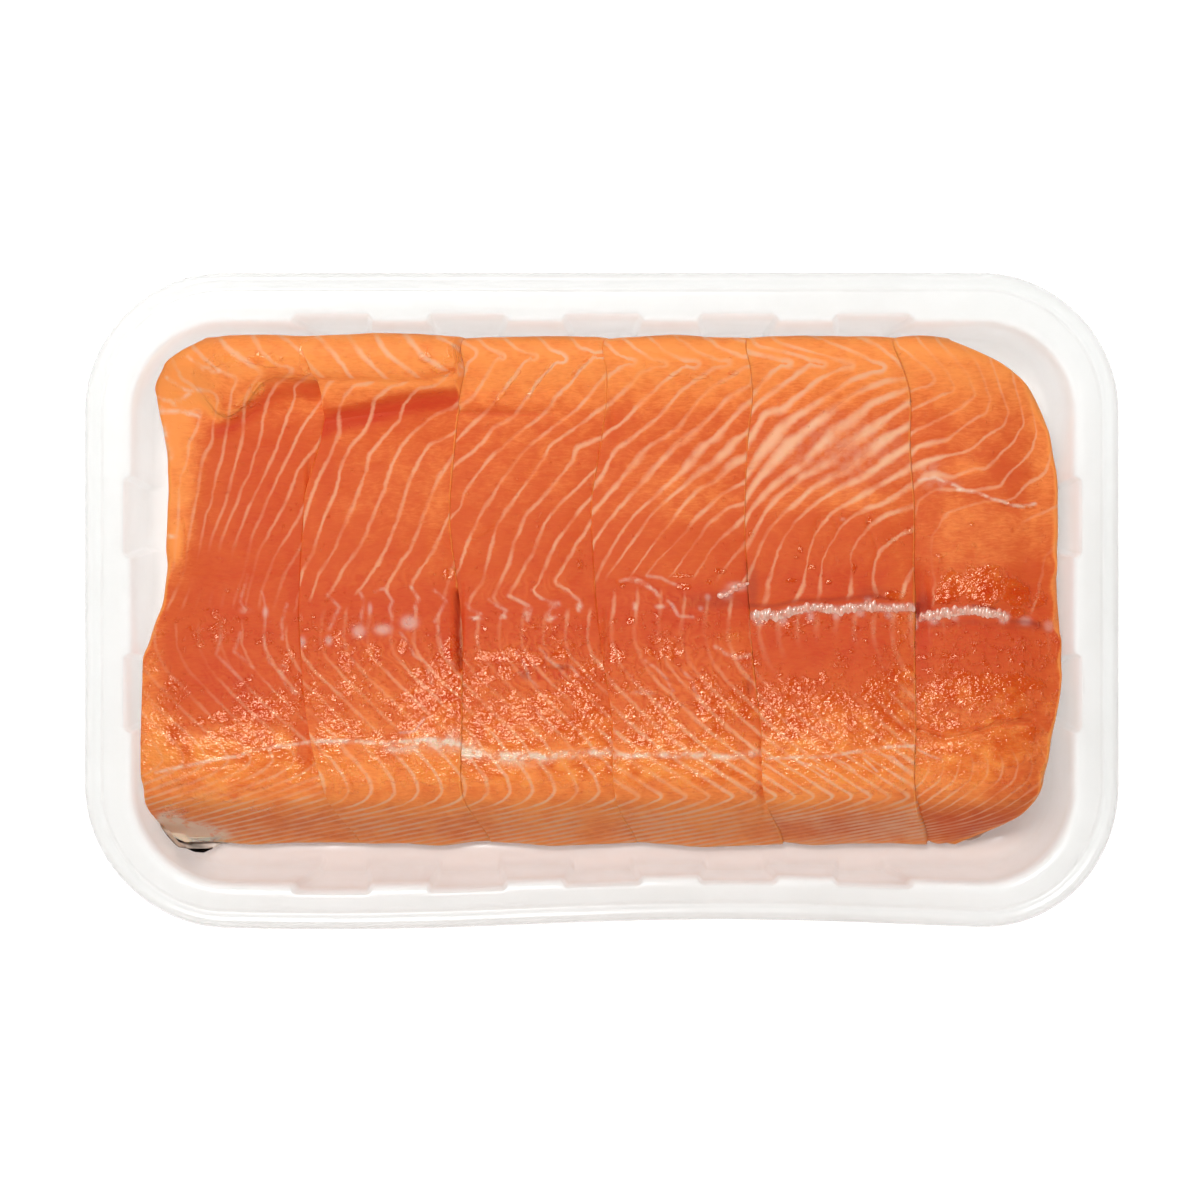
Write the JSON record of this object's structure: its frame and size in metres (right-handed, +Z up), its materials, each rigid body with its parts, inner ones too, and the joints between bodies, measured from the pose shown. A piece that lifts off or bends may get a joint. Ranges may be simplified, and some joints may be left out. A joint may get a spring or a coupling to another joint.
{
  "type": "salmon fillet portions in tray",
  "caption": "Skin-on salmon fillet cut into portions that lie side by side in a fluted, translucent plastic tray, belly folded up at one long side.",
  "frame": {"origin": "below the middle of the tray, on the surface that the tray stands on", "axes": "+X along the tray's length towards the portion with the spine's white band at the free end, +Y towards the thin belly side, +Z up"},
  "size_m": [0.325, 0.2065, 0.044],
  "materials": {
    "tray_plastic": "milky translucent polypropylene, glossy",
    "flesh": "raw salmon muscle, moist, with pale lines",
    "skin": "fish skin, silvery to dark grey"
  },
  "bodies": {
    "root": {"tray": "tray_plastic", "portion_1_flesh": "flesh", "portion_2_flesh": "flesh", "portion_3_flesh": "flesh", "portion_4_flesh": "flesh", "portion_5_flesh": "flesh", "portion_6_flesh": "flesh", "portion_1_skin": "skin", "portion_2_skin": "skin", "portion_3_skin": "skin", "portion_4_skin": "skin", "portion_5_skin": "skin", "portion_6_skin": "skin"}
  },
  "joints": []
}
